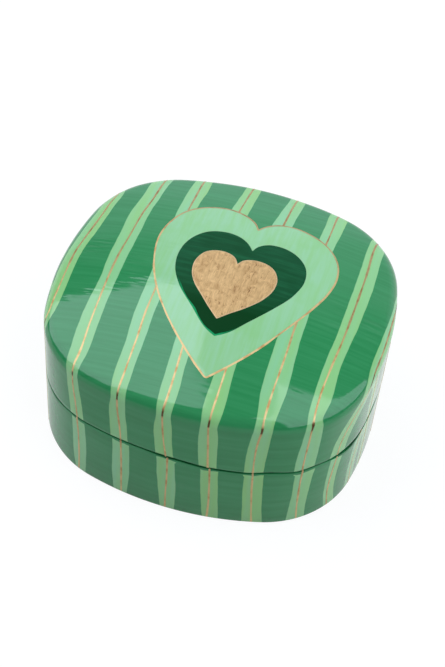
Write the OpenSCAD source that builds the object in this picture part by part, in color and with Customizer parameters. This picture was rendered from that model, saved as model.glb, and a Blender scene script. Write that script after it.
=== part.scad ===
// Papier-mache box with a lift-off lid.
// The plan is a square with bowed sides and large round corners. Its origin is the
// middle of the underside, +Z points up and -Y is the front.

/* [Plan] */
// Width of the box across its bowed sides
box_w = 100; // [92:1:110]
// Depth of the box across its bowed front and back
box_d = 94.7; // [88:0.1:104]
// Radius of the bowed front and back
front_r = 94.7; // [85:0.1:120]
// Radius of the bowed left and right sides
side_r = 95.9; // [85:0.1:120]
// Radius of the round corners
corner_r = 30.5; // [24:0.5:34]

/* [Base] */
// Height of the base, from its underside to the seam
base_h = 24.3; // [16:0.1:36]
// Thickness of the base's moulded wall
wall_t = 3; // [2.2:0.1:4]
// Thickness of the floor panel
floor_t = 3; // [1.5:0.1:5]

/* [Collar] */
// Thickness of the collar that lines the base
collar_t = 1.5; // [1:0.1:2.5]
// Height that the collar stands above the seam
collar_rise = 5.5; // [3:0.5:10]
// Running gap between the collar and the lid's wall
collar_gap = 0.3; // [0.2:0.05:0.6]

/* [Lid] */
// Height of the lid's upright wall
lid_wall_h = 17.7; // [12:0.1:28]
// Height of the crown above that wall
crown_h = 10; // [8:0.5:16]
// Thickness of the crown
crown_t = 3; // [2:0.1:4]
// Outer radius of the shoulder between wall and crown
shoulder_r = 4; // [3:0.5:6]
// Inner radius of the shoulder
inner_shoulder_r = 2; // [1:0.5:3]

/* [Hidden] */

half_w = box_w / 2;
half_d = box_d / 2;
lid_t = wall_t - collar_gap;
shoulder_z = base_h + lid_wall_h;

// The side arcs are drawn about points beyond the middle of the box
front_arc_y = front_r - half_d;
side_arc_x = side_r - half_w;

// The corner arc touches both side arcs, so its centre is where two circles cross
front_reach = front_r - corner_r;
side_reach = side_r - corner_r;
arc_span = norm([side_arc_x, front_arc_y]);
along = (front_reach ^ 2 - side_reach ^ 2 + arc_span ^ 2) / (2 * arc_span);
across = sqrt(front_reach ^ 2 - along ^ 2);
corner_x = (-along * side_arc_x + across * front_arc_y) / arc_span;
corner_y = -front_arc_y + (along * front_arc_y + across * side_arc_x) / arc_span;

// Directions, from +X, in which a side arc meets the corner arc
side_turn = atan2(corner_y, corner_x + side_arc_x);
corner_turn = atan2(corner_y + front_arc_y, corner_x);

// Flats that stand for each arc
side_steps = 6;
corner_steps = 12;
shoulder_steps = 6;
dome_steps = 8;

green = [0.2, 0.5, 0.32];
mint = [0.57, 0.82, 0.62];
black = [0.08, 0.08, 0.07];

// Points along an arc about c, without its last one
function arc(c, r, from, to, steps) =
  [for (i = [0:steps - 1]) let (a = from + (to - from) * i / steps) c + r * [cos(a), sin(a)]];

// A quarter of the plan, from the middle of the right side to just before the middle of the back
function quarter(inset) = concat(
  arc([-side_arc_x, 0], side_r - inset, 0, side_turn, side_steps),
  arc([corner_x, corner_y], corner_r - inset, side_turn, corner_turn, corner_steps),
  arc([0, -front_arc_y], front_r - inset, corner_turn, 90, side_steps)
);

// The whole plan, drawn in from the outer face by inset
function plan(inset) =
  let (
    q = quarter(inset),
    last = len(q) - 1,
    half = concat(q, [[0, half_d - inset]], [for (i = [last:-1:0]) [-q[i].x, q[i].y]])
  )
  concat(half, [for (i = [len(half) - 2:-1:1]) [half[i].x, -half[i].y]]);

// Upright ring that follows the plan, between two insets
module ring(outer, inner, z, h) {
  translate([0, 0, z])
    linear_extrude(h)
      difference() {
        polygon(plan(outer));
        polygon(plan(inner));
      }
}

// Section of the crown, from the wall to the middle, as [scale of the plan, height]:
// a shoulder arc of radius r that runs into one flat dome arc
function dome_r(reach, r, h) = ((reach - r) ^ 2 + h ^ 2 - r ^ 2) / (2 * (h - r));

function crown_section(reach, r, h) =
  let (
    big = dome_r(reach, r, h),
    slope = asin((reach - r) / (big - r)),
    shoulder = [for (i = [0:shoulder_steps]) let (a = (90 - slope) * i / shoulder_steps)
      [reach - r + r * cos(a), r * sin(a)]],
    dome = [for (i = [dome_steps - 1:-1:1]) let (a = slope * i / dome_steps)
      [big * sin(a), h - big + big * cos(a)]]
  )
  [for (p = concat(shoulder, dome)) [p[0] / reach, p[1]]];

function crown_rings(points, section) =
  [for (s = section) for (p = points) [p.x * s[0], p.y * s[0], shoulder_z + s[1]]];

// Moulded crown of the lid: a soft pillow, hollow below
module pillow(points_out, points_in) {
  section_out = crown_section(half_d, shoulder_r, crown_h);
  section_in = crown_section(half_d - lid_t, inner_shoulder_r, crown_h - crown_t);
  n = len(points_out);
  rings = len(section_out);
  start_in = n * rings;
  top_out = start_in + n * len(section_in);
  top_in = top_out + 1;
  points = concat(
    crown_rings(points_out, section_out),
    crown_rings(points_in, section_in),
    [[0, 0, shoulder_z + crown_h], [0, 0, shoulder_z + crown_h - crown_t]]
  );
  faces = concat(
    // outer face, ring by ring, then its top
    [for (k = [0:rings - 2]) for (i = [0:n - 1])
      [k * n + i, (k + 1) * n + i, (k + 1) * n + (i + 1) % n, k * n + (i + 1) % n]],
    [for (i = [0:n - 1]) [(rings - 1) * n + i, top_out, (rings - 1) * n + (i + 1) % n]],
    // inner face
    [for (k = [0:rings - 2]) for (i = [0:n - 1])
      [start_in + k * n + i, start_in + k * n + (i + 1) % n,
       start_in + (k + 1) * n + (i + 1) % n, start_in + (k + 1) * n + i]],
    [for (i = [0:n - 1])
      [start_in + (rings - 1) * n + i, start_in + (rings - 1) * n + (i + 1) % n, top_in]],
    // flat rim that sits on the lid's wall
    [for (i = [0:n - 1]) [i, (i + 1) % n, start_in + (i + 1) % n, start_in + i]]
  );
  polyhedron(points, faces, convexity = 6);
}

// Lower half of the moulded ring
module base_wall() {
  color(green) ring(0, wall_t, 0, base_h);
}

// Panel glued into the foot of the ring, flush with it
module base_floor() {
  color(black) linear_extrude(floor_t) polygon(plan(wall_t));
}

// Strip glued inside the base, which the lid slides down over
module collar() {
  color(black) ring(wall_t, wall_t + collar_t, floor_t, base_h + collar_rise - floor_t);
}

// Upper half of the moulded ring
module lid_wall() {
  color(green) ring(0, lid_t, base_h, lid_wall_h);
}

// Pillow-shaped top
module lid_crown() {
  color(mint) pillow(plan(0), plan(lid_t));
}

base_wall();
base_floor();
collar();
lid_wall();
lid_crown();
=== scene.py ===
# Papier mache box with a lift-off lid, painted with stripes and three nested hearts and varnished.
import math
from functools import partial

import bpy
from mathutils import Matrix, Vector, noise
from mathutils.bvhtree import BVHTree
from mathutils.kdtree import KDTree


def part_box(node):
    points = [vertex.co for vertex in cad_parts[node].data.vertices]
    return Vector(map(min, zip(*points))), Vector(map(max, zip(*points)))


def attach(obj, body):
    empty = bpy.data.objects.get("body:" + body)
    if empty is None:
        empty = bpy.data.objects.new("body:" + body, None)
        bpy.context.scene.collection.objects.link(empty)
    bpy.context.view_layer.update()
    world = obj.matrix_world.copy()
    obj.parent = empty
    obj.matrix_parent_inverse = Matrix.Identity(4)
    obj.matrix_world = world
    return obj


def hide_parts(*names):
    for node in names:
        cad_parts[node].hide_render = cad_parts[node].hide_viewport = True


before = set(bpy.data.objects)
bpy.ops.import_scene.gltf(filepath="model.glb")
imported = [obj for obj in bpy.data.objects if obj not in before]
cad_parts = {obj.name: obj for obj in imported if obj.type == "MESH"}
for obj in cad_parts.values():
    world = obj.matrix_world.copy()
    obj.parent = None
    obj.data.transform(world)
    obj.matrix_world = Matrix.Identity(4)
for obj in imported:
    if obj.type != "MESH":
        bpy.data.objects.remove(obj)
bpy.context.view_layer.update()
mm = 0.001
print("frame loaded:", ", ".join(sorted(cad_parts)))


# Small helpers

def pick(obj):
    bpy.ops.object.select_all(action="DESELECT")
    obj.select_set(True)
    bpy.context.view_layer.objects.active = obj


def named(name):
    # the shape just made
    obj = bpy.context.object
    obj.name = obj.data.name = name
    return obj


def editAll():
    bpy.ops.object.mode_set(mode="EDIT")
    bpy.ops.mesh.select_all(action="SELECT")


def alignFaces():
    editAll()
    bpy.ops.mesh.normals_make_consistent(inside=False)
    bpy.ops.object.mode_set(mode="OBJECT")


def smooth(obj):
    pick(obj)
    bpy.ops.object.shade_smooth_by_angle(angle=math.radians(35))


def keepValues(obj, name, values):
    # one number for each vertex, which a material reads by name
    obj.data.attributes.new(name, "FLOAT", "POINT").data.foreach_set("value", values)


def applyModifier(obj, kind, **settings):
    pick(obj)
    modifier = obj.modifiers.new(kind.title(), kind)
    for name, value in settings.items():
        setattr(modifier, name, value)
    bpy.ops.object.modifier_apply(modifier=modifier.name)


def smoothStep(low, high, value):
    t = min(max((value - low) / (high - low), 0), 1)
    return t * t * (3 - 2 * t)


def handWobble(seed, place, wavelength):
    # a steady hand still drifts: smooth noise from -1 to 1 along a stroke
    return 2 * noise.noise(Vector((place / wavelength, seed * 7.3, 0.5)))


def nearestTo(points):
    tree = KDTree(len(points))
    for i, point in enumerate(points):
        tree.insert(point, i)
    tree.balance()
    return tree


def curveThrough(points, step):
    # smooth curve through given points, sampled about every step
    spans = [(b - a).length for a, b in zip(points, points[1:])]
    slopes = [(b - a) / span for a, b, span in zip(points, points[1:], spans)]
    tangents = [slopes[0]]
    for i in range(1, len(slopes)):
        before, after = spans[i - 1], spans[i]
        tangents.append((slopes[i] * before + slopes[i - 1] * after) / (before + after))
    tangents.append(slopes[-1])
    samples = []
    for i, span in enumerate(spans):
        count = max(2, round(span / step))
        for k in range(count):
            t = k / count
            lean = tangents[i] * t * (1 - t) ** 2 - tangents[i + 1] * t * t * (1 - t)
            samples.append(points[i].lerp(points[i + 1], t * t * (3 - 2 * t)) + lean * span)
    return samples + [points[-1]]


# Camera, at the photograph's viewing angle

view = {
    "azimuth": 12.31,  # degrees, round to the right of the front
    "elevation": 48.29,  # degrees above the table
    "roll": 5.21,
    "distance": 441.3 * mm,
    "aimRight": 0.48 * mm,
    "aimUp": 18.09 * mm,
    "lens": 75.63,  # for a 36 mm frame on the photograph's long side
    "frameSize": 36,
}


def placeCamera():
    turn = math.radians(view["azimuth"])
    rise = math.radians(view["elevation"])
    back = Vector((math.sin(turn) * math.cos(rise), -math.cos(turn) * math.cos(rise), math.sin(rise)))
    right = Vector((math.cos(turn), math.sin(turn), 0))
    up = back.cross(right)
    turned = Matrix((right, up, back)).transposed() @ Matrix.Rotation(math.radians(view["roll"]), 3, "Z")
    spot = back * view["distance"] + right * view["aimRight"] + up * view["aimUp"]
    bpy.ops.object.camera_add()
    camera = named("photoCamera")
    camera.matrix_world = Matrix.Translation(spot) @ turned.to_4x4()
    camera.data.lens = view["lens"]
    camera.data.sensor_width = view["frameSize"]
    bpy.context.scene.camera = camera


placeCamera()
print("camera placed")


# Plan of the box: a square with bowed sides and large round corners

wallLow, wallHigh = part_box("base_wall")
crownLow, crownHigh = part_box("lid_crown")
plan = {
    "frontRadius": 94.7 * mm,
    "sideRadius": 95.9 * mm,
    "cornerRadius": 30.5 * mm,
}
halfWidth = wallHigh.x
halfDepth = wallHigh.y
seamHeight = wallHigh.z
shoulderHeight = crownLow.z
topHeight = crownHigh.z

frontArcY = plan["frontRadius"] - halfDepth
sideArcX = plan["sideRadius"] - halfWidth
frontReach = plan["frontRadius"] - plan["cornerRadius"]
sideReach = plan["sideRadius"] - plan["cornerRadius"]
arcSpan = math.hypot(sideArcX, frontArcY)
cornerAlong = (frontReach ** 2 - sideReach ** 2 + arcSpan ** 2) / (2 * arcSpan)
cornerAcross = math.sqrt(frontReach ** 2 - cornerAlong ** 2)
cornerX = (-cornerAlong * sideArcX + cornerAcross * frontArcY) / arcSpan
cornerY = -frontArcY + (cornerAlong * frontArcY + cornerAcross * sideArcX) / arcSpan
sideTurn = math.atan2(cornerY, cornerX + sideArcX)
cornerTurn = math.atan2(cornerY + frontArcY, cornerX)
frontRun = plan["frontRadius"] * (math.pi / 2 - cornerTurn)
cornerRun = plan["cornerRadius"] * (cornerTurn - sideTurn)
quarterRun = frontRun + cornerRun + plan["sideRadius"] * sideTurn
girth = 4 * quarterRun


def wrapped(run):
    # a distance round from the middle of the front, to the left as a negative one
    return (run + girth / 2) % girth - girth / 2


def planAt(run):
    # point and outward direction at a distance round the box
    run = wrapped(run)
    back = abs(run) > quarterRun
    along = 2 * quarterRun - abs(run) if back else abs(run)
    if along < frontRun:
        turn = along / plan["frontRadius"] - math.pi / 2
        centre, radius = Vector((0, frontArcY, 0)), plan["frontRadius"]
    elif along < frontRun + cornerRun:
        turn = (along - frontRun) / plan["cornerRadius"] - cornerTurn
        centre, radius = Vector((cornerX, -cornerY, 0)), plan["cornerRadius"]
    else:
        turn = (along - quarterRun) / plan["sideRadius"]
        centre, radius = Vector((-sideArcX, 0, 0)), plan["sideRadius"]
    outward = Vector((math.cos(turn), math.sin(turn), 0))
    flip = Vector((1 if run >= 0 else -1, -1 if back else 1, 1))
    return (centre + radius * outward) * flip, outward * flip


# The seam was sawn and trimmed by hand: how far it rises above its mean, round the front
seam = {
    # mm from the middle of the front
    "stations": [-78, -42, -32, -22, -10, 0, 10, 20, 28, 35, 41, 48, 56, 64, 78],
    "rises": [0, -0.4, 0.5, 0.7, 0.7, 0.4, -0.3, -0.4, 0.35, -0.2, 0.35, -0.1, -0.4, -0.6, 0],  # mm
    "drift": 0.25,  # mm, on the sides and the back
    "driftLength": 26,  # mm
    "driftStarts": 15,  # mm, over which it sets in
    "gap": 0.46,  # mm
    "gapDrift": 0.2,
    "gapDriftLength": 7,
    "gape": 1.1,  # mm more where the base's rim dips at the front right corner
    "gapeAt": 55,
    "gapeHalf": 12,
    "reach": 9,  # mm from the rim, over which wave and gap die away
}


def seamRise(run):
    stations, rises = seam["stations"], seam["rises"]
    place = wrapped(run) / mm
    if stations[0] < place < stations[-1]:
        i = max(k for k, station in enumerate(stations) if station <= place)
        share = smoothStep(stations[i], stations[i + 1], place)
        return (rises[i] + (rises[i + 1] - rises[i]) * share) * mm
    fade = smoothStep(0, seam["driftStarts"], abs(place) - stations[-1])
    return fade * seam["drift"] * handWobble(3, place, seam["driftLength"]) * mm


def seamGap(run):
    drift = seam["gapDrift"] * handWobble(5, run / mm, seam["gapDriftLength"])
    return (seam["gap"] + drift) * mm


def lidRim(run):
    return seamHeight + seamRise(run) + seamGap(run) / 2


def baseRim(run):
    place = wrapped(run) / mm
    dip = 1 - smoothStep(0, seam["gapeHalf"], abs(place - seam["gapeAt"]))
    return seamHeight + seamRise(run) - seamGap(run) / 2 - seam["gape"] * dip * mm


# Shells, turned as round boxes and then wrapped to the plan

shell = {
    "ringPoints": 256,
    "wallThickness": 3 * mm,
    "lidThickness": 2.7 * mm,
    "shoulderRadius": 4 * mm,
    "footRadius": 0.5 * mm,
    "rimRound": 0.2 * mm,
    "dent": 0.09 * mm,  # hand-moulded pulp is never quite true
    "dentWidth": 11 * mm,
    "trueFoot": 2 * mm,  # below this the dents fade out
    "wallShare": 0.95,  # of the way out, where the wall begins
    "wallRings": 14,
    "shoulderRings": 10,
    "domeRings": 34,
    "footRings": 6,
    "floorRings": 16,
    "facesDown": -0.7,
    "sharp": math.radians(55),  # edges sharper than this are rounded
}


def turnRings(name, profile):
    # profile: (reach, height) pairs from the rim to the middle, where the reach is zero
    reach, height = profile[0]
    bpy.ops.mesh.primitive_circle_add(vertices=shell["ringPoints"], radius=reach, location=(0, 0, height))
    obj = named(name)
    bpy.ops.object.transform_apply()
    editAll()
    for nextReach, nextHeight in profile[1:]:
        bpy.ops.mesh.extrude_region_move(TRANSFORM_OT_translate={"value": (0, 0, nextHeight - height)})
        if nextReach == 0:
            bpy.ops.mesh.merge(type="CENTER")
            break
        ratio = nextReach / reach
        bpy.ops.transform.resize(value=(ratio, ratio, 1), center_override=(0, 0, nextHeight))
        reach, height = nextReach, nextHeight
    alignFaces()
    return obj


def wrapToPlan(obj, rim, dentSeed):
    # each round ring takes the box's own plan, the rim its wave and gap, and the skin its dents
    mesh = obj.data
    for vertex in mesh.vertices:
        reach = math.hypot(vertex.co.x, vertex.co.y)
        run = (math.atan2(vertex.co.y, vertex.co.x) / (2 * math.pi) + 0.25) * girth
        share = reach / halfDepth
        nearRim = 1 - smoothStep(0, seam["reach"] * mm, abs(vertex.co.z - seamHeight))
        lift = nearRim * (rim(run) - seamHeight) if share > shell["wallShare"] else 0
        place = planAt(run)[0] * share
        vertex.co = (place.x, place.y, vertex.co.z + lift)
    mesh.update()
    normals = [v.normal.copy() for v in mesh.vertices]
    for vertex, normal in zip(mesh.vertices, normals):
        flat = smoothStep(0, shell["trueFoot"], vertex.co.z)
        bump = noise.noise(vertex.co / shell["dentWidth"] + Vector((dentSeed, 0, 0)))
        vertex.co += normal * bump * flat * shell["dent"]
    mesh.update()


def wallProfile(end):
    # from the seam up or down to a height
    count = shell["wallRings"]
    return [(halfDepth, seamHeight + (end - seamHeight) * i / count) for i in range(count)]


def roundIn(radius, height, sweep, count, way):
    # arc in from the wall, up or down
    turns = [sweep * i / count for i in range(count)]
    return [(halfDepth - radius + radius * math.cos(t), height + way * radius * math.sin(t)) for t in turns]


def lidProfile():
    # wall, shoulder arc, then one flat dome arc that runs out of it
    radius = shell["shoulderRadius"]
    rise = topHeight - shoulderHeight
    domeRadius = ((halfDepth - radius) ** 2 + rise ** 2 - radius ** 2) / (2 * (rise - radius))
    slope = math.asin((halfDepth - radius) / (domeRadius - radius))
    shoulder = roundIn(radius, shoulderHeight, math.pi / 2 - slope, shell["shoulderRings"], 1)
    dome = []
    for i in range(shell["domeRings"], 0, -1):
        turn = slope * i / shell["domeRings"]
        dome.append((domeRadius * math.sin(turn), topHeight - domeRadius * (1 - math.cos(turn))))
    return wallProfile(shoulderHeight) + shoulder + dome + [(0, topHeight)]


def baseProfile():
    radius, rings = shell["footRadius"], shell["floorRings"]
    foot = roundIn(radius, radius, math.pi / 2, shell["footRings"], -1)
    floor = [((halfDepth - radius) * i / rings, 0) for i in range(rings, -1, -1)]
    return wallProfile(radius) + foot + floor


def makeShell(name, profile, thickness, rim, dentSeed):
    obj = turnRings(name, profile)
    wrapToPlan(obj, rim, dentSeed)
    for material in (gouache, lacquer, edgePaint):
        obj.data.materials.append(material)
    corners = [v.co.copy() for v in obj.data.vertices]
    skin = BVHTree.FromPolygons(corners, [tuple(p.vertices) for p in obj.data.polygons])
    coats = {"material_offset": 1, "material_offset_rim": 2}
    applyModifier(obj, "SOLIDIFY", thickness=thickness, offset=-1, use_even_offset=True, **coats)
    for face in obj.data.polygons:
        if face.normal.z < shell["facesDown"] and face.center.z < shell["footRadius"]:
            face.material_index = 1  # the underside is lacquered too
    rounding = {"width": shell["rimRound"], "limit_method": "ANGLE", "angle_limit": shell["sharp"]}
    applyModifier(obj, "BEVEL", segments=3, material=2, **rounding)
    smooth(obj)
    return obj, skin


# Materials

def linear(hexColour):
    # sRGB hex to a linear colour
    channels = [int(hexColour[i:i + 2], 16) / 255 for i in (1, 3, 5)]
    return tuple(c / 12.92 if c <= 0.04045 else ((c + 0.055) / 1.055) ** 2.4 for c in channels) + (1,)


def addNode(tree, kind, inputs=None, **settings):
    # one node with its settings; an input is a value, a hex colour, a socket or a node
    node = tree.nodes.new("ShaderNode" + kind)
    for name, value in settings.items():
        setattr(node, name, value)
    for socket, value in (inputs or {}).items():
        if isinstance(value, bpy.types.Node):
            value = next(output for output in value.outputs if output.enabled)
        if isinstance(value, str):
            value = linear(value)
        if isinstance(value, bpy.types.NodeSocket):
            tree.links.new(value, node.inputs[socket])
        else:
            node.inputs[socket].default_value = value
    return node


def newMaterial(name):
    # a material, what adds a node to it, and the place on the object
    material = bpy.data.materials.new(name)
    material.use_nodes = True
    material.node_tree.nodes.clear()
    add = partial(addNode, material.node_tree)
    return material, add, add("TexCoord").outputs["Object"]


def painted(material, looks):
    tree = material.node_tree
    addNode(tree, "OutputMaterial", {"Surface": addNode(tree, "BsdfPrincipled", looks)})
    return material


def tones(add, pattern, low, high, first, second):
    # from one tone to another as the pattern goes from low to high
    share = add("MapRange", {0: pattern, 1: low, 2: high})
    return add("Mix", {0: share, 6: first, 7: second}, data_type="RGBA")


def perWidth(width):
    # noise scale whose light and dark streaks are this wide
    return 1 / (2 * width)


noiseSpan = {1: 0.3, 2: 0.7}  # where most of a noise's values lie


def streaks(add, place, width, length, along, detail=2):
    # brush marks: noise drawn out along the axes named in along
    stretch = [perWidth(length) if axis in along else perWidth(width) for axis in "xyz"]
    mapping = add("Mapping", {"Vector": place, "Scale": stretch})
    return add("TexNoise", {"Vector": mapping, "Scale": 1, "Detail": detail})


varnish = {
    "ior": 1.52,
    "roughLow": 0.05,
    "roughHigh": 0.09,
    "lumpWidth": 5 * mm,
    "lump": 0.06 * mm,
    "strokeWidth": 0.75 * mm,
    "strokeLength": 7 * mm,
    "stroke": 0.07 * mm,
    "patch": 4 * mm,  # strokes stand up in some places and level out in others
    "levelled": 0.08,  # what is left of them there
}


def varnished(add, place):
    # varnish brushed on from side to side: it swells in low lumps and stands up along some strokes
    lumps = add("TexNoise", {"Vector": place, "Scale": perWidth(varnish["lumpWidth"]), "Detail": 1})
    swell = add("Bump", {"Strength": 1, "Distance": varnish["lump"], "Height": lumps})
    patches = add("TexNoise", {"Vector": place, "Scale": perWidth(varnish["patch"]), "Detail": 1})
    standing = add("MapRange", {0: patches, 1: 0.45, 2: 0.6, 3: varnish["levelled"], 4: 1})
    strokes = streaks(add, place, varnish["strokeWidth"], varnish["strokeLength"], "x", 1)
    rise = varnish["stroke"]
    return add("Bump", {"Strength": standing, "Distance": rise, "Height": strokes, "Normal": swell})


def underVarnish(material, add, place, brush, colour):
    # a coat of paint under that varnish, a little less sharp along its own brush marks
    rough = add("MapRange", {0: brush, 1: 0.25, 2: 0.75, 3: varnish["roughLow"], 4: varnish["roughHigh"]})
    gloss = {"Roughness": rough, "IOR": varnish["ior"], "Normal": varnished(add, place)}
    return painted(material, {"Base Color": colour, **gloss})


paint = {
    "darkGreen": "#2F884F",
    "darkGreenThin": "#389158",  # where the brush left less paint
    "lightWarm": "#92CD7E",
    "lightCool": "#8FCE97",
    "brushWidth": 0.5 * mm,  # mark of one bunch of hairs
    "brushLength": 13 * mm,
    "wallBrushWidth": 0.9 * mm,
    "streak": 1.3 * mm,
    "streakLength": 30 * mm,
    "edgeTear": 0.08,  # mm that a stripe's edge strays
    "edgeTearWidth": 3 * mm,
    "edgeSoft": 0.05,  # mm
    "coolDrift": 0.35,  # of the way from warm to cool
    "rimBare": 0.7,  # mm by which the light stripes stop short of the base's rim
    "rimBareDrift": 0.6,  # mm
}


def varnishedPaint():
    # gouache on primed papier mache under a brushed varnish: rich greens with faint brush marks
    # and a sharp gloss that ripples along the strokes
    material, add, place = newMaterial("varnishedGouache")
    marks = add("Attribute", attribute_name="paint").outputs["Vector"]
    inside, onWall, belowRim = add("SeparateXYZ", {0: marks}).outputs
    coolness = add("Attribute", attribute_name="cool").outputs["Fac"]

    # a light stripe ends at its own torn edge and short of the base's rim
    stray, soft = paint["edgeTear"], paint["edgeSoft"]
    bare, drift = paint["rimBare"], paint["rimBareDrift"]
    tear = add("TexNoise", {"Vector": place, "Scale": perWidth(paint["edgeTearWidth"])})
    sideTear = add("MapRange", {0: tear, **noiseSpan, 3: -stray, 4: stray})
    endTear = add("MapRange", {0: tear, **noiseSpan, 3: -drift, 4: drift})
    torn = add("Math", {0: inside, 1: sideTear}, operation="ADD")
    short = add("Math", {0: belowRim, 1: endTear}, operation="ADD")
    within = add("MapRange", {0: torn, 1: -soft, 2: soft})
    below = add("MapRange", {0: short, 1: bare - soft, 2: bare + soft})
    light = add("Math", {0: within, 1: below}, operation="MULTIPLY")

    # the dark ground was brushed from side to side, the stripes along themselves
    width, length = paint["brushWidth"], paint["brushLength"]
    crownMarks = streaks(add, place, width, length, "xz")
    wallMarks = streaks(add, place, paint["wallBrushWidth"], length, "xy")
    darkMarks = add("Mix", {0: onWall, 2: crownMarks, 3: wallMarks})
    lightCrownMarks = streaks(add, place, width, length, "yz")
    lightWallMarks = streaks(add, place, width, length, "z")
    lightMarks = add("Mix", {0: onWall, 2: lightCrownMarks, 3: lightWallMarks})
    streaky = streaks(add, place, paint["streak"], paint["streakLength"], "yz")

    darkTone = tones(add, darkMarks, 0.3, 0.7, paint["darkGreen"], paint["darkGreenThin"])
    drift = paint["coolDrift"]
    cooler = add("MapRange", {0: streaky, **noiseSpan, 3: -drift, 4: drift})
    cooled = add("Math", {0: coolness, 1: cooler}, operation="ADD", use_clamp=True)
    lightTone = add("Mix", {0: cooled, 6: paint["lightWarm"], 7: paint["lightCool"]}, data_type="RGBA")
    colour = add("Mix", {0: light, 6: darkTone, 7: lightTone}, data_type="RGBA")
    brush = add("Mix", {0: light, 2: darkMarks, 3: lightMarks})
    return underVarnish(material, add, place, brush, colour)


lining = {
    "black": "#141412",
    "worn": "#24221D",
    "brushWidth": 0.5 * mm,
    "brushLength": 14 * mm,
    "ripple": 0.006 * mm,
}


def blackLacquer():
    # black lacquer brushed on the inside and underside: deep and half glossy, browner where thin
    material, add, place = newMaterial("brushedBlackLacquer")
    brush = streaks(add, place, lining["brushWidth"], lining["brushLength"], "xy")
    colour = tones(add, brush, 0.3, 0.75, lining["black"], lining["worn"])
    rough = add("MapRange", {0: brush, **noiseSpan, 3: 0.22, 4: 0.38})
    bump = add("Bump", {"Strength": 1, "Distance": lining["ripple"], "Height": brush})
    return painted(material, {"Base Color": colour, "Roughness": rough, "IOR": 1.5, "Normal": bump})


edge = {
    "green": "#094A23",
    "greenThin": "#147C40",
    "specular": 0.25,  # low, because raw board drinks up the varnish
}


def rimPaint():
    # the dark green carried over the sawn edge, thinner and more saturated, half dull
    material, add, place = newMaterial("sawnEdgeGouache")
    brush = streaks(add, place, paint["brushWidth"], paint["brushLength"], "xy")
    colour = tones(add, brush, 0.35, 0.65, edge["green"], edge["greenThin"])
    rough = add("MapRange", {0: brush, **noiseSpan, 3: 0.35, 4: 0.55})
    dull = {"Roughness": rough, "IOR": 1.5, "Specular IOR Level": edge["specular"]}
    return painted(material, {"Base Color": colour, **dull})


gouache = varnishedPaint()
lacquer = blackLacquer()
edgePaint = rimPaint()
print("shell materials made")

lidShell, lidSkin = makeShell("lidShell", lidProfile(), shell["lidThickness"], lidRim, 11)
baseShell, baseSkin = makeShell("baseShell", baseProfile(), shell["wallThickness"], baseRim, 23)
print("shells made:", len(lidShell.data.polygons), len(baseShell.data.polygons), "faces")


# Painted stripes

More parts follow.
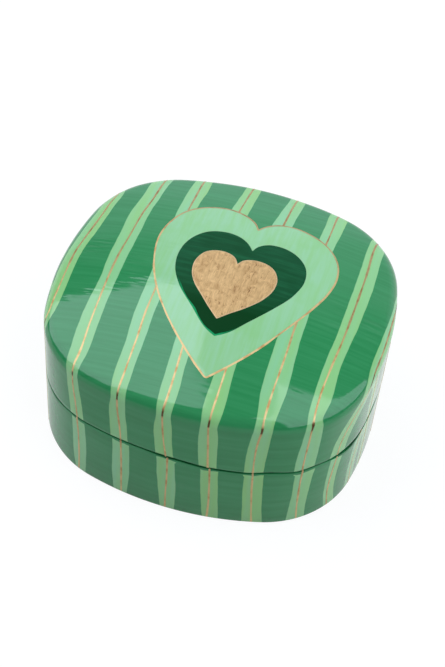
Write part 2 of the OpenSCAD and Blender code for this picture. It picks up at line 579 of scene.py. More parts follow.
# A stripe is a gold line with light green on both sides. Its points are (distance round, height) on
# a wall and (x, y) on the crown, then the green's reach to the line's left and right, all in mm, and
# how cool it is, from 0 to 10. The stripes run from left to right. A lid's stripe is three lists: up
# the front wall, back over the crown, and down the back wall.
lidStripes = [
    ([(-52, 24, 2.4, 2.4, 4), (-52, 34, 2.4, 2.4, 4), (-52, 41.5, 2.4, 2.2, 3)],
     [(-45.3, -24, 2.5, 2, 3), (-45.6, -17, 2.6, 2.2, 1.5), (-46, -8, 2.8, 2.1, 1.5),
        (-46, 1, 2.5, 2.1, 2.5), (-45, 9, 2.4, 2.1, 3), (-44, 17, 2.4, 1.9, 3), (-43.4, 24, 2.3, 1.9, 3),
        (-42.7, 29, 2.2, 2, 4)],
     [(-46.5, 41.5, 2.4, 2.4, 4), (-45.5, 34, 2.4, 2.4, 4), (-45, 24, 2.4, 2.4, 4)]),
    ([(-30.8, 24, 2.6, 2.3, 2), (-31.5, 31, 2.6, 2.4, 1.7), (-32.3, 38, 2.5, 2.2, 2.6),
        (-32.6, 43, 2.5, 1.9, 4)],
     [(-31.5, -36, 2.9, 2.3, 4), (-31.9, -27, 3.1, 2.5, 4.8), (-32.3, -18, 2.9, 2.5, 5.5),
        (-32.7, -9, 2.4, 2.8, 5.3), (-32.9, 0, 2.9, 2.8, 5), (-32.2, 10, 3.2, 2.5, 4.2),
        (-31.8, 20, 3.8, 2.1, 3.5), (-31, 28, 3.7, 1.9, 4.2), (-30.7, 37, 3.6, 2, 5)],
     [(-30.4, 42, 2.6, 2.4, 4), (-30.5, 34, 2.6, 2.6, 3), (-31, 24, 2.5, 2.6, 3)]),
    ([(-15.9, 24, 3.2, 2.2, 3), (-16.4, 31, 3.1, 2.2, 3.3), (-17.2, 38, 2.6, 2.4, 3.7),
        (-17.4, 43, 2.1, 2.5, 4)],
     [(-17.3, -42, 2.6, 2.3, 4), (-17.4, -30, 2.7, 2.2, 7), (-17.8, -21, 3, 2.3, 7.5),
        (-17.9, -12, 3.1, 2.5, 8), (-18.9, 25, 3, 2.3, 5), (-19, 32, 3, 2.4, 4.2),
        (-19.1, 40, 2.7, 2.8, 3.5)],
     [(-18.8, 42, 2.5, 2.3, 4), (-18.5, 34, 2.6, 2.6, 3), (-18.2, 24, 2.5, 2.6, 4)]),
    ([(-2.1, 24, 3.1, 2.1, 2), (-3, 31, 2.8, 2.3, 2.3), (-3.5, 38, 2.5, 2.6, 3.4),
        (-3.7, 43, 1.8, 2.5, 4.5)],
     [(-3.6, -44, 2.4, 2.6, 5), (-3.9, -35, 2.6, 2.1, 6.5), (-4.3, -27, 2.6, 2.2, 7.5),
        (-4.2, 31, 2.4, 2.7, 5), (-3.7, 43, 2.2, 2.4, 1.5)],
     [(-3.4, 42, 2.2, 2.2, 2), (-3.8, 34, 2.5, 2.6, 3), (-4.2, 24, 2.4, 2.6, 4)]),
    ([(9.9, 24, 2.7, 2.5, 1), (9.6, 31, 2.8, 2.6, 2), (9.3, 38, 2.5, 2.8, 2.9),
        (9.2, 43, 2.2, 2.4, 3.5)],
     [(9.2, -44, 2.7, 2.8, 2.5), (9.2, -33, 2.7, 2.4, 5), (9.9, 30, 3.1, 2.5, 7.5),
        (10.5, 43, 2, 2.7, 3.5)],
     [(10.8, 42, 2.3, 2.5, 3), (10.3, 34, 2.5, 2.6, 2), (10, 24, 2.5, 2.5, 2)]),
    ([(22.6, 24, 2.5, 2.8, 2.5), (22.7, 31, 2.4, 3.1, 3.2), (23.1, 38, 2.2, 3.3, 3.9),
        (23.8, 43, 2.3, 2.9, 4.5)],
     [(23.4, -43, 2.2, 2.9, 3), (23.2, -33, 3.2, 3.6, 6), (23.4, -26, 3.5, 3.2, 6.2),
        (23.5, -18, 3.9, 2.8, 6.5), (23.5, -9, 3.1, 2.6, 6.8), (24, 26, 2.5, 2.7, 6.5),
        (24.2, 34, 2.5, 3.1, 5), (24.3, 41, 2.7, 3.3, 3.5)],
     [(24.8, 42, 2.5, 2.7, 3), (24.6, 34, 2.6, 2.6, 4), (24, 24, 2.5, 2.6, 3)]),
    ([(36.8, 24, 2.4, 3.5, 6.5), (37, 31, 2.3, 3.9, 7.6), (37.5, 38, 2, 3.7, 6.4),
        (37.9, 43, 1.8, 3.3, 4.5)],
     [(36, -37, 1.8, 2.6, 4), (35.7, -30, 1.7, 3.3, 3.5), (36.4, -20, 2, 2.6, 3),
        (37.2, -10, 2.2, 2.4, 3.2), (37.7, 0, 2.1, 2.7, 3.5), (38, 10, 2.2, 3, 4.2), (38.1, 20, 2.1, 3, 5),
        (38.1, 34, 2, 3.1, 5.5)],
     [(40.3, 42, 2.3, 2.7, 5), (40, 34, 2.5, 2.6, 4), (39.4, 24, 2.6, 2.5, 4)]),
    ([(48.6, 24, 2.7, 2.9, 4), (49.9, 31, 2.7, 3.2, 4), (52.5, 36, 2.8, 3.2, 4),
        (56.3, 39.5, 2.7, 2.9, 4), (60.3, 42, 2.4, 2.7, 4)],
     [(48.2, -15, 1.9, 2.6, 3.5), (48.7, -9, 2.1, 2.6, 3.5), (49, -3, 1.8, 2.5, 3.5),
        (49.1, 3, 1.5, 2.4, 4), (49.1, 9, 1.4, 2.4, 4)],
     [(64, 41.5, 2, 2.4, 4), (58, 36, 2.4, 2.4, 4), (54, 24, 2.5, 2.5, 4)]),
]

baseStripes = [
    [(-52, 0.5, 2.4, 2.6, 4), (-52.2, 12, 2.4, 2.8, 5), (-52, 25, 2.4, 2.4, 5)],
    [(-30.8, 0.5, 1.3, 2.5, 5), (-30.6, 8, 2.2, 2.7, 5.7), (-30.7, 16, 2.3, 2.7, 5.4),
        (-31.2, 25, 2, 2.7, 4)],
    [(-15.7, 0.5, 2.6, 1.9, 6), (-15.7, 8, 3, 2.4, 7), (-15.9, 16, 2.8, 2.6, 6.4),
        (-16.1, 25, 2.7, 2.7, 4)],
    [(-1.7, 0.5, 1.5, 2.8, 4), (-1.8, 8, 2.1, 3, 5), (-1.7, 16, 3, 2.6, 4.9), (-1.7, 25, 3.4, 2.3, 3.5)],
    [(10.9, 0.5, 1.4, 3.2, 2), (11, 8, 2.1, 2.7, 1.7), (10.8, 16, 2.5, 2.5, 1.3), (10.4, 25, 2.6, 2.5, 1)],
    [(24.1, 0.5, 2.9, 3.1, 2.5), (23.5, 8, 2.6, 3, 1.2), (22.9, 16, 2.6, 3.2, 1.1),
        (22.7, 25, 2.3, 3.1, 2.5)],
    [(37.4, 0.5, 3.2, 2.6, 5), (36.9, 8, 2.3, 3, 4.3), (36.7, 16, 1.9, 3.5, 4.6), (37.1, 25, 2.2, 3.9, 6)],
    [(48, 0.5, 1.3, 2.9, 5), (47.2, 9, 1.3, 2.6, 4), (47.9, 18, 1.9, 2.3, 5), (49, 25, 2.5, 2.4, 6)],
    [(58.9, 0.5, 2.5, 2.7, 4), (58.5, 10, 2.4, 2.9, 4), (60, 18, 2.9, 2.8, 4), (61.6, 25, 2.6, 2.7, 5)],
]

stripe = {
    "step": 0.5 * mm,
    "plainHalf": 2.6,  # mm, for the stripes on the sides and the back
    "plainCool": 4,
    "centreDrift": 0.08,  # mm
    "widthDrift": 0.1,  # mm
    "driftLength": 12,  # mm
    "sidePitch": 13.6,  # mm
    "sideSeeds": (25, 26, 27, 35, 36, 37),
    "lidHeights": (24, 34, 42),  # mm
    "baseHeights": (0.5, 12, 25),  # mm
    "far": 20,  # mm, for what lies beyond every edge
    "neighbours": 6,
    "leans": (0.3, 0.62),  # how far up the skin faces at the wall's end and the crown's start
}

middleBack = girth / 2 / mm


def wallPoint(run, height):
    return planAt(run * mm)[0] + Vector((0, 0, height * mm))


def crownPoint(x, y):
    above = Vector((x * mm, y * mm, topHeight + 10 * mm))
    return lidSkin.ray_cast(above, Vector((0, 0, -1)))[0]


def stripePoint(place, left, right, cool):
    return Vector((*place, left * mm, right * mm, cool / 10 * mm))


def layStripe(points, skin, seed):
    # samples along a stripe: place, directions, reach each way and tone
    curve = curveThrough(points, stripe["step"])
    spots = [skin.find_nearest(Vector(p[:3])) for p in curve]
    samples = []
    travelled = 0
    wavelength = stripe["driftLength"]
    for i, (spot, normal, *_) in enumerate(spots):
        ahead = spots[min(i + 1, len(spots) - 1)][0] - spots[max(i - 1, 0)][0]
        across = ahead.cross(normal).normalized()
        travelled += (spot - spots[i - 1][0]).length / mm if i else 0
        drift, left, right = (handWobble(seed + k, travelled, wavelength) for k in (0, 0.4, 0.8))
        samples.append({
            "spot": skin.find_nearest(spot + across * drift * stripe["centreDrift"] * mm)[0],
            "normal": normal, "across": across,
            "left": curve[i][3] / mm + left * stripe["widthDrift"],
            "right": curve[i][4] / mm + right * stripe["widthDrift"],
            "cool": curve[i][5] / mm,
        })
    return samples


def plainStripe(run, heights):
    # an upright stripe on a side or the back
    half, cool = stripe["plainHalf"], stripe["plainCool"]
    return [stripePoint(wallPoint(run, height), half, half, cool) for height in heights]


def sideStripes(heights):
    # upright stripes on the left and right, under the outermost long one
    runs = [side * (quarterRun / mm + k * stripe["sidePitch"]) for side in (-1, 1) for k in (-1, 0, 1)]
    return [plainStripe(run, heights) for run in runs]


def wallPoints(table):
    return [stripePoint(wallPoint(run, height), *rest) for run, height, *rest in table]


def lidStripeLines():
    lines = []
    for seed, (front, crown, back) in enumerate(lidStripes):
        points = wallPoints(front) + [stripePoint(crownPoint(x, y), *rest) for x, y, *rest in crown]
        points += wallPoints([(middleBack - x, *rest) for x, *rest in back])
        lines.append(layStripe(points, lidSkin, seed + 1))
    for seed, points in zip(stripe["sideSeeds"], sideStripes(stripe["lidHeights"])):
        lines.append(layStripe(points, lidSkin, seed))
    return lines


def baseStripeLines():
    tables = [wallPoints(table) for table in baseStripes] + sideStripes(stripe["baseHeights"])
    for front, crown, back in lidStripes:
        tables.append(plainStripe(middleBack - back[-1][0], stripe["baseHeights"]))
    return [layStripe(points, baseSkin, seed + 51) for seed, points in enumerate(tables)]


def paintStripes(obj, lines, rim):
    # for each vertex: mm inside a light stripe, how upright the wall is, mm below the rim, tone
    samples = [s for line in lines for s in line]
    middles = nearestTo([s["spot"] for s in samples])
    stations = [i * mm for i in range(round(girth / mm))]
    outline = nearestTo([planAt(run)[0] for run in stations])
    marks, coolness = [], []
    for vertex in obj.data.vertices:
        best = (-stripe["far"], 0)
        for spot, i, distance in middles.find_n(vertex.co, stripe["neighbours"]):
            s = samples[i]
            side = "right" if (vertex.co - spot).dot(s["across"]) > 0 else "left"
            best = max(best, (s[side] - distance / mm, s["cool"]))
        wall = 1 - smoothStep(*stripe["leans"], abs(vertex.normal.z))
        below = stripe["far"]
        if rim:
            run = stations[outline.find((vertex.co.x, vertex.co.y, 0))[1]]
            below = (rim(run) - vertex.co.z) / mm
        marks += [best[0], wall, below]
        coolness.append(best[1])
    obj.data.attributes.new("paint", "FLOAT_VECTOR", "POINT").data.foreach_set("vector", marks)
    keepValues(obj, "cool", coolness)


lidLines = lidStripeLines()
baseLines = baseStripeLines()
paintStripes(lidShell, lidLines, None)
paintStripes(baseShell, baseLines, baseRim)
print("stripes painted:", len(lidLines), "on the lid,", len(baseLines), "on the base")


# Hearts, three films of paint one on another

# Outlines in mm on the crown: from the notch round one lobe to the tip
hearts = {
    "heartMint": {
        "notch": (3.5, 22.8), "tip": (4.5, -35.2), "centre": (3, -2), "proud": 0.04 * mm, "rings": 26,
        "right": [(5.6, 25.6), (9, 27.9), (13, 28.7), (19, 27.4), (25, 24), (29, 18.6), (30.3, 12),
            (29.2, 5), (26.6, -2), (21.4, -12.6), (15.8, -22), (9.8, -29.6)],
        "left": [(2, 25.6), (-1.6, 28.4), (-7, 29.9), (-13, 28.8), (-18.6, 24.9), (-22.3, 18), (-23.5, 10),
            (-22.2, 2), (-19, -7), (-13.6, -16.2), (-6.4, -25), (-0.6, -30.8)],
    },
    "heartDark": {
        "notch": (4.4, 12.9), "tip": (3, -21.9), "centre": (3, -1), "proud": 0.075 * mm, "rings": 18,
        "right": [(5.6, 15.4), (8, 17.2), (12, 17.8), (17, 16.2), (20.8, 12.2), (21.9, 7), (20.4, 0.4),
            (16.4, -6.8), (10.6, -14.5), (5.6, -20.2)],
        "left": [(2.6, 15.3), (-0.4, 17.5), (-5, 18.4), (-10, 17), (-14.2, 12.3), (-15.9, 5.5), (-15, -1),
            (-12, -7), (-6, -14), (0.6, -20.6)],
    },
    "heartGold": {
        "notch": (1.8, 5.9), "tip": (1.9, -16.2), "centre": (2, -1), "proud": 0.11 * mm, "rings": 12,
        "right": [(3, 7.8), (5.4, 9), (8.6, 9.2), (12.2, 7.7), (14.4, 4), (14.5, 0), (12.6, -5), (8.6, -10),
            (4.6, -13.6)],
        "left": [(0.4, 8.2), (-2.2, 9.5), (-5.2, 9.5), (-8.4, 7.9), (-10.3, 4), (-10.2, -0.4), (-8.6, -4.4),
            (-4.6, -9.4), (-0.6, -13.8)],
    },
}

film = {
    "step": 0.5,  # mm
    "points": 240,
    "rimRing": 0.3,  # of a ring's width
    "rounded": 0.3,  # mm, for the rise from its edge
    "sunk": 0.03 * mm,
}


def heartOutline(h):
    lobes = [(h["notch"], *h[side], h["tip"]) for side in ("left", "right")]
    left, right = (curveThrough([Vector(p) for p in lobe], film["step"]) for lobe in lobes)
    return left + right[-2:0:-1]


def spacedPoints(outline, count):
    # the same closed outline with evenly spaced points
    ends = list(zip(outline, outline[1:] + outline[:1]))
    lengths = [(b - a).length for a, b in ends]
    total = sum(lengths)
    points = []
    i, passed = 0, 0
    for k in range(count):
        want = total * k / count
        while passed + lengths[i] < want:
            passed += lengths[i]
            i += 1
        a, b = ends[i]
        points.append(a.lerp(b, (want - passed) / lengths[i]))
    return points


def makeHeart(name, material):
    h = hearts[name]
    outline = spacedPoints(heartOutline(h), film["points"])
    centre = Vector((*h["centre"], 0))
    bpy.ops.mesh.primitive_circle_add(vertices=film["points"], radius=1)
    obj = named(name)
    # the circle takes the heart's outline, then is drawn in ring by ring to its middle
    for vertex, point in zip(obj.data.vertices, outline):
        vertex.co = Vector((*point, 0)) - centre
    editAll()
    share = 1
    for ring in [h["rings"] - film["rimRing"]] + list(range(h["rings"] - 1, 0, -1)):
        bpy.ops.mesh.extrude_region_move()
        ratio = ring / h["rings"] / share
        bpy.ops.transform.resize(value=(ratio, ratio, 1), center_override=(0, 0, 0))
        share = ring / h["rings"]
    bpy.ops.mesh.extrude_region_move()
    bpy.ops.mesh.merge(type="CENTER")
    bpy.ops.object.mode_set(mode="OBJECT")
    border = nearestTo([(point.x, point.y, 0) for point in outline])
    insets = []
    for vertex in obj.data.vertices:
        flat = vertex.co + centre
        insets.append(border.find(flat)[2])
        height = h["proud"] * (0.5 + 0.5 * smoothStep(0, film["rounded"], insets[-1]))
        vertex.co = crownPoint(flat.x, flat.y) + Vector((0, 0, height))
    keepValues(obj, "inset", insets)
    alignFaces()
    if obj.data.polygons[0].normal.z < 0:
        obj.data.flip_normals()
    obj.data.materials.append(material)
    applyModifier(obj, "SOLIDIFY", thickness=h["proud"] + film["sunk"], offset=-1)
    smooth(obj)
    return obj, outline


coat = {
    "mint": "#93CD8C",
    "mintCool": "#99D09D",
    "mintWarm": "#90CC88",
    "bottle": "#144F2E",
    "bottleDeep": "#003B15",
    "bottleThin": "#1E643E",
    "emerald": "#149858",  # the coat below, left bare along the lower left edge
    "bareEdge": 0.42,  # mm
    "brushWidth": 0.7 * mm,
    "brushLength": 7 * mm,
    "patchWidth": 5 * mm,
    "bottleSpecular": 0.075,
}


def mintGouache():
    # a second, even coat of gouache inside a drawn outline, a little cloudy, under the same varnish
    material, add, place = newMaterial("mintGouache")
    brush = streaks(add, place, coat["brushWidth"], coat["brushLength"], "yz")
    clouds = add("TexNoise", {"Vector": place, "Scale": perWidth(coat["patchWidth"]), "Detail": 2})
    tone = tones(add, brush, 0.32, 0.66, coat["mint"], coat["mintCool"])
    colour = tones(add, clouds, 0.5, 0.75, tone, coat["mintWarm"])
    return underVarnish(material, add, place, brush, colour)


def bottleGouache():
    # thick bottle-green gouache that drank up the varnish: deep, nearly without gloss, and mottled,
    # with a line of emerald undercoat showing along its lower left edge
    material, add, place = newMaterial("bottleGreenGouache")
    brush = streaks(add, place, coat["brushWidth"], coat["brushLength"], "xz")
    clouds = add("TexNoise", {"Vector": place, "Scale": perWidth(coat["patchWidth"]), "Detail": 3})
    parts = add("SeparateXYZ", {0: place}).outputs
    cloudy = add("MapRange", {0: clouds, 1: 0.45, 2: 0.65, 3: 0, 4: 0.3})
    tip = add("MapRange", {0: parts["Y"], 1: 0, 2: -12 * mm})
    deep = add("Math", {0: cloudy, 1: tip}, operation="MAXIMUM")
    tone = tones(add, brush, 0.42, 0.76, coat["bottle"], coat["bottleThin"])
    ground = add("Mix", {0: deep, 6: tone, 7: coat["bottleDeep"]}, data_type="RGBA")

    # the undercoat shows in a ragged line, and only low down on the left
    inset = add("Attribute", attribute_name="inset").outputs["Fac"]
    ragged = add("MapRange", {0: clouds, **noiseSpan, 3: -0.35, 4: 0.35})
    border = add("Math", {0: inset, 1: ragged}, operation="ADD")
    bareEdge = coat["bareEdge"]
    edgeMask = add("MapRange", {0: border, 1: bareEdge, 2: bareEdge + 0.1, 3: 1, 4: 0})
    lowMask = add("MapRange", {0: parts["Y"], 1: -4 * mm, 2: -10 * mm})
    leftMask = add("MapRange", {0: parts["X"], 1: 9 * mm, 2: 4 * mm})
    corner = add("Math", {0: lowMask, 1: leftMask}, operation="MULTIPLY")
    bare = add("Math", {0: edgeMask, 1: corner}, operation="MULTIPLY")
    colour = add("Mix", {0: bare, 6: ground, 7: coat["emerald"]}, data_type="RGBA")
    rough = add("MapRange", {0: brush, 1: 0.25, 2: 0.75, 3: 0.35, 4: 0.5})
    dull = {"Roughness": rough, "IOR": 1.5, "Specular IOR Level": coat["bottleSpecular"]}
    return painted(material, {"Base Color": colour, **dull, "Normal": varnished(add, place)})


gold = {
    "bright": "#E6C084",
    "deep": "#BC9058",
    "pit": "#74491F",
    "line": "#E9C788",
    "lineThin": "#C8995A",
    "lineShadeColour": "#64401C",  # painted shade: the line's colour over the shoulder, where it mirrors the dark
    "hair": 0.1 * mm,
    "pale": "#F2D5A8",  # its edge, drawn first
    "stroke": 1.7 * mm,
    "swirl": 1.3 * mm,
    "breakLength": 1.6 * mm,
    "relief": 0.001 * mm,
    "turn": 0.0018,  # how far the swirls carry the hairs round
    "heartMetal": 0.35,
    "lineMetal": 0.4,
    "lineRough": 0.4,
    "lineCoat": 0.25,
    "lineCoatRough": 0.1,
}


def goldPaint():
    # bronze-powder gold paint worked round with a small brush: pale, half metallic, with fine
    # swirls and a few darker pits
    material, add, place = newMaterial("brushedGoldPaint")
    eddies = {"Scale": perWidth(gold["swirl"]), "Detail": 2, "Distortion": 1.2}
    swirl = add("TexNoise", {"Vector": place, **eddies})
    turned = add("Mix", {0: gold["turn"], 4: place, 5: swirl.outputs["Color"]}, data_type="VECTOR")
    hairs = streaks(add, turned, gold["hair"], gold["stroke"], "yz", 3)
    marks = add("Mix", {0: 0.6, 2: swirl, 3: hairs})
    tone = tones(add, marks, 0.35, 0.62, gold["deep"], gold["bright"])
    pits = add("MapRange", {0: marks, 1: 0.37, 2: 0.32, 3: 0, 4: 0.8})
    pitted = add("Mix", {0: pits, 6: tone, 7: gold["pit"]}, data_type="RGBA")
    inset = add("Attribute", attribute_name="inset").outputs["Fac"]
    drawn = add("MapRange", {0: inset, 1: 0.1, 2: 0.5, 3: 0.6, 4: 0})
    colour = add("Mix", {0: drawn, 6: pitted, 7: gold["pale"]}, data_type="RGBA")
    bump = add("Bump", {"Strength": 1, "Distance": gold["relief"], "Height": marks})
    rough = add("MapRange", {0: hairs, **noiseSpan, 3: 0.4, 4: 0.55})
    sheen = {"Metallic": gold["heartMetal"], "Roughness": rough, "Normal": bump}
    return painted(material, {"Base Color": colour, **sheen})


def goldLinePaint():
    # the same gold paint drawn with a liner brush, thick and thin, and varnished: it shines pale where it
    # mirrors the light, and where it mirrors the dark its colour is painted brown as painted shade
    material, add, place = newMaterial("linedGoldPaint")
    breaks = add("TexNoise", {"Vector": place, "Scale": perWidth(gold["breakLength"]), "Detail": 2})
    tone = tones(add, breaks, 0.33, 0.52, gold["lineThin"], gold["line"])
    # painted shade: the line's colour turns brown where it mirrors the dark
    lineShade = add("Attribute", attribute_name="lineShade").outputs["Fac"]
    colour = add("Mix", {0: lineShade, 6: tone, 7: gold["lineShadeColour"]}, data_type="RGBA")
    clear = {"Coat Weight": gold["lineCoat"], "Coat Roughness": gold["lineCoatRough"]}
    metal = {"Metallic": gold["lineMetal"], "Roughness": gold["lineRough"]}
    return painted(material, {"Base Color": colour, **metal, **clear})


heartMint, mintOutline = makeHeart("heartMint", mintGouache())
heartDark = makeHeart("heartDark", bottleGouache())[0]
heartGold = makeHeart("heartGold", goldPaint())[0]
print("hearts laid")


# Gold lines, drawn down every light stripe and round the large heart

line = {
    "half": 0.28 * mm,
    "outlineHalf": 0.33 * mm,
    # painted shade: how far a line's colour is painted darker towards the crown's back and on the walls
    "backShade": 0.45,
    "stripeShadeSpan": (-26 * mm, 2 * mm),
    "outlineShadeSpan": (5 * mm, 28 * mm),
    "wallShade": 0.13,
    "halfDrift": 0.05 * mm,
    "proud": 0.07 * mm,  # at its middle
    "edgeProud": 0.015 * mm,
    "sunk": 0.02 * mm,
    "shoulderBlob": 0.1 * mm,  # the brush slowed over the shoulder and left more paint
    "outlinePoints": 420,
    "shortest": 4,  # samples
    "driftRun": 5,  # mm
    # wavelengths in samples, and how far up the skin faces where a line widens or its painted shade changes
    "blobRun": 9,
    "shadeBandRun": 40,
    "shadeBandAt": (0.6, 0.2),
    "shadeBandSoft": 0.1,
    "wallLeans": (0.02, 0.12),
    "blobLeans": (0.1, 0.9),
}


def insideOutline(outline, x, y):
    crossings = [
        (a.y > y) != (b.y > y) and x < a.x + (y - a.y) * (b.x - a.x) / (b.y - a.y)
        for a, b in zip(outline, outline[1:] + outline[:1])
    ]
    return sum(crossings) % 2 == 1


def drawLine(samples, seed, middleHalf, shadeSpan):
    # a low bead of paint, from one grid strip
    count = len(samples)
    bpy.ops.mesh.primitive_grid_add(x_subdivisions=2, y_subdivisions=count - 1, size=1)
    obj = bpy.context.object
    middle, swing = line["shadeBandAt"]
    lineShades = []
    for vertex in obj.data.vertices:
        row = round((vertex.co.y + 0.5) * (count - 1))
        side = round(2 * vertex.co.x)
        height = line["edgeProud"] if side else line["proud"]
        s = samples[row]
        up = s["normal"].z
        half = middleHalf + line["halfDrift"] * handWobble(seed, row * stripe["step"] / mm, line["driftRun"])
        tilt = 1 - abs(2 * smoothStep(*line["blobLeans"], abs(up)) - 1)
        half += line["shoulderBlob"] * tilt * (0.5 + handWobble(seed + 0.3, row, line["blobRun"]))
        vertex.co = s["spot"] + s["across"] * side * half + s["normal"] * height
        # painted shade on the line's colour: over the shoulder band, towards the crown's back and on the
        # walls
        top = middle + swing * handWobble(seed + 0.6, row, line["shadeBandRun"])
        lean = smoothStep(*line["wallLeans"], up)
        shoulder = lean * (1 - smoothStep(top - line["shadeBandSoft"], top + line["shadeBandSoft"], up))
        backShading = line["backShade"] * smoothStep(*shadeSpan, s["spot"].y)
        lineShades.append(max(shoulder, lean * backShading, (1 - lean) * line["wallShade"]))
    keepValues(obj, "lineShade", lineShades)
    obj.data.materials.append(linePaint)
    return obj


def drawLines(lines, hidden):
    # each line in the pieces that the large heart leaves
    ribbons = []
    for seed, samples in enumerate(lines):
        run = []
        for s in samples + [None]:
            spot = s["spot"] / mm if s else None
            if s and not (s["normal"].z > 0.5 and insideOutline(hidden, spot.x, spot.y)):
                run.append(s)
                continue
            if len(run) > line["shortest"]:
                ribbons.append(drawLine(run, seed + 1, line["half"], line["stripeShadeSpan"]))
            run = []
    return ribbons


def joinRibbons(name, ribbons):
    pick(ribbons[0])
    for ribbon in ribbons:
        ribbon.select_set(True)
    bpy.ops.object.join()
    obj = named(name)
    if sum(f.normal.dot(f.center) for f in obj.data.polygons) < 0:
        obj.data.flip_normals()
    applyModifier(obj, "SOLIDIFY", thickness=line["proud"] + line["sunk"], offset=-1)
    smooth(obj)
    return obj


def outlineSamples(outline):
    count = line["outlinePoints"]
    points = [crownPoint(p.x, p.y) for p in spacedPoints(outline, count)]
    points.append(points[0])
    samples = []
    for i, spot in enumerate(points):
        ahead = points[(i + 1) % count] - points[(i - 1) % count]
        normal = lidSkin.find_nearest(spot)[1]
        across = ahead.normalized().cross(normal).normalized()
        samples.append({"spot": spot, "normal": normal, "across": across})
    return samples


linePaint = goldLinePaint()
lidRibbons = drawLines(lidLines, mintOutline)
lidRibbons.append(drawLine(outlineSamples(mintOutline), 40, line["outlineHalf"], line["outlineShadeSpan"]))
goldLinesLid = joinRibbons("goldLinesLid", lidRibbons)
goldLinesBase = joinRibbons("goldLinesBase", drawLines(baseLines, []))
print("gold lines drawn")


# Collar, a strip of board bent round inside the base with a butt joint

collarLow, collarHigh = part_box("collar")
collar = {
    "inset": shell["wallThickness"] + 0.03 * mm,
    "thickness": 1.45 * mm,
    "bottom": collarLow.z + 0.05 * mm,
    "top": collarHigh.z,
    "buttGap": 0.35 * mm,
    "buttAt": 0.62,  # share of the way round, out of sight at the back left
    "columns": 260,
    "rows": 14,
    "rounded": 0.5 * mm,
    "sharp": math.radians(60),
}


def makeCollar(material):
    bpy.ops.mesh.primitive_grid_add(x_subdivisions=collar["columns"], y_subdivisions=collar["rows"], size=1)
    obj = named("collarStrip")
    start = collar["buttAt"] * girth
    for vertex in obj.data.vertices:
        along, up = vertex.co.x + 0.5, vertex.co.y + 0.5
        place, outward = planAt(start + collar["buttGap"] / 2 + along * (girth - collar["buttGap"]))
        height = collar["bottom"] + up * (collar["top"] - collar["bottom"])
        vertex.co = place - outward * collar["inset"] + Vector((0, 0, height))
    obj.data.update()
    if sum(f.normal.dot(f.center * Vector((1, 1, 0))) for f in obj.data.polygons) < 0:
        obj.data.flip_normals()
    obj.data.materials.append(material)
    applyModifier(obj, "SOLIDIFY", thickness=collar["thickness"], offset=-1, use_even_offset=True)
    rounding = {"width": collar["rounded"], "limit_method": "ANGLE", "angle_limit": collar["sharp"]}
    applyModifier(obj, "BEVEL", segments=3, **rounding)
    smooth(obj)
    return obj


collarStrip = makeCollar(lacquer)
print("collar bent")


# Pieces ride on their bodies

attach(baseShell, "base")
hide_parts("base_wall", "base_floor")
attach(collarStrip, "base")
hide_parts("collar")
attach(goldLinesBase, "base")
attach(lidShell, "lid")
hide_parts("lid_wall", "lid_crown")
for piece in (heartMint, heartDark, heartGold, goldLinesLid):
    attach(piece, "lid")


# Table, light and air

studio = {
    "tableSize": 8,
    "tableWhite": "#E2E2E2",
    "shadowShare": 0.17,  # of the paper's own shading that the camera sees
    "whiteGlow": 1.085,
    "frontGlow": 0.47,  # the paper is darker in front of the box
    "frontEnds": -0.06,
    "whiteStarts": 0.01,
    "daylight": "#E9F0FF",
    # a soft box is a rectangle: its nearest corner, then its two edges, in metres
    "panels": {
        "leftPanel": {"corner": (-0.32, 1.3, 1.62), "across": (0.07, -1.123, 0.874),
            "along": (-0.555, -1.217, -1.52), "glow": 2.38},
        "rightPanel": {"corner": (0.22, 0.96, 3), "across": (0.029, -1.251, 0.276),
            "along": (0.425, -0.675, -2.865), "glow": 2.2},
    },
    # the air behind brightens towards the horizon, by its direction's y over z; its edge is an arch
    "arch": 0.5,
    "dusk": 0.65,
    "dawn": 0.95,
    "dawnGlow": 0.58,
    "day": 2.7,
    "dayRise": 1.75,
}


def makeTable():
    # white paper sweep: the camera sees it white with a faint shadow
    bpy.ops.mesh.primitive_plane_add(size=studio["tableSize"])
    table = named("table")
    material, add, place = newMaterial("whitePaperSweep")
    path = add("LightPath").outputs
    mirrored = add("Math", {0: path["Is Glossy Ray"], 1: path["Is Transmission Ray"]}, operation="MAXIMUM")
    seen = add("Math", {0: path["Is Camera Ray"], 1: mirrored}, operation="MAXIMUM")
    share = add("Math", {0: seen, 1: 1 - studio["shadowShare"]}, operation="MULTIPLY")
    away = add("SeparateXYZ", {0: place}).outputs["Y"]
    start, end = studio["frontEnds"], studio["whiteStarts"]
    fade = add("MapRange", {0: away, 1: start, 2: end, 3: studio["frontGlow"], 4: 1})
    white = add("Math", {0: path["Is Camera Ray"], 1: studio["whiteGlow"]}, operation="MULTIPLY")
    strength = add("Math", {0: white, 1: fade}, operation="MAXIMUM")
    paper = add("BsdfDiffuse", {"Color": studio["tableWhite"]})
    glow = add("Emission", {"Color": "#FFFFFF", "Strength": strength})
    both = add("MixShader", {0: share, 1: paper, 2: glow})
    add("OutputMaterial", {"Surface": both})
    table.data.materials.append(material)


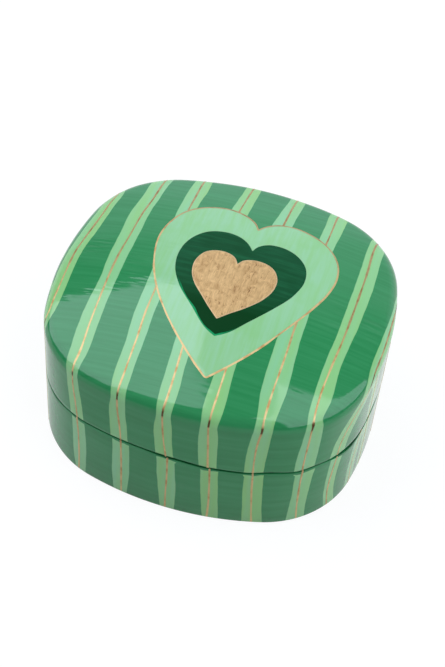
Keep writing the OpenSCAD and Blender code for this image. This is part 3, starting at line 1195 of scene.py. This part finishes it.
def hangPanels():
    for name, p in studio["panels"].items():
        corner, across, along = (Vector(p[key]) for key in ("corner", "across", "along"))
        middle = corner + (across + along) / 2
        away = along.cross(across).normalized()
        if away.dot(middle) < 0:
            away = -away
        side = away.cross(along.normalized())
        turned = Matrix((along.normalized(), side, away)).transposed()
        bpy.ops.object.light_add(type="AREA")
        panel = named(name)
        panel.matrix_world = Matrix.Translation(middle) @ turned.to_4x4()
        panel.data.shape = "RECTANGLE"
        panel.data.size = along.length
        panel.data.size_y = across.length
        panel.data.color = linear(studio["daylight"])[:3]
        panel.data.energy = p["glow"] * math.pi * along.length * across.length
        panel.visible_camera = False


def makeAir():
    # white to the camera; for gloss and shade it is bright low at the back and dark elsewhere
    world = bpy.data.worlds.new("studioAir")
    bpy.context.scene.world = world
    world.use_nodes = True
    world.node_tree.nodes.clear()
    add = partial(addNode, world.node_tree)
    seen = add("LightPath").outputs["Is Camera Ray"]
    parts = add("SeparateXYZ", {0: add("TexCoord").outputs["Generated"]}).outputs
    height = add("Math", {0: parts["Z"], 1: 0.01}, operation="MAXIMUM")
    aside = add("Math", {0: parts["X"]}, operation="ABSOLUTE")
    arch = add("Math", {0: aside, 1: studio["arch"]}, operation="MULTIPLY")
    under = add("Math", {0: parts["Y"], 1: arch}, operation="SUBTRACT")
    behind = add("Math", {0: under, 1: height}, operation="DIVIDE")
    slope = add("Math", {0: parts["Y"], 1: height}, operation="DIVIDE")
    dusk, dawn, day = studio["dusk"], studio["dawn"], studio["day"]
    early = add("MapRange", {0: behind, 1: dusk, 2: dawn, 3: 0, 4: studio["dawnGlow"]})
    late = add("MapRange", {0: slope, 1: dawn, 2: day, 3: 1, 4: studio["dayRise"]})
    glow = add("Math", {0: early, 1: late}, operation="MULTIPLY")
    strength = add("Math", {0: glow, 1: seen}, operation="MAXIMUM")
    colour = add("Mix", {0: seen, 6: studio["daylight"], 7: "#FFFFFF"}, data_type="RGBA")
    add("OutputWorld", {"Surface": add("Background", {"Color": colour, "Strength": strength})})


makeTable()
hangPanels()
makeAir()
bpy.context.scene.view_settings.view_transform = "Standard"
print("studio set")
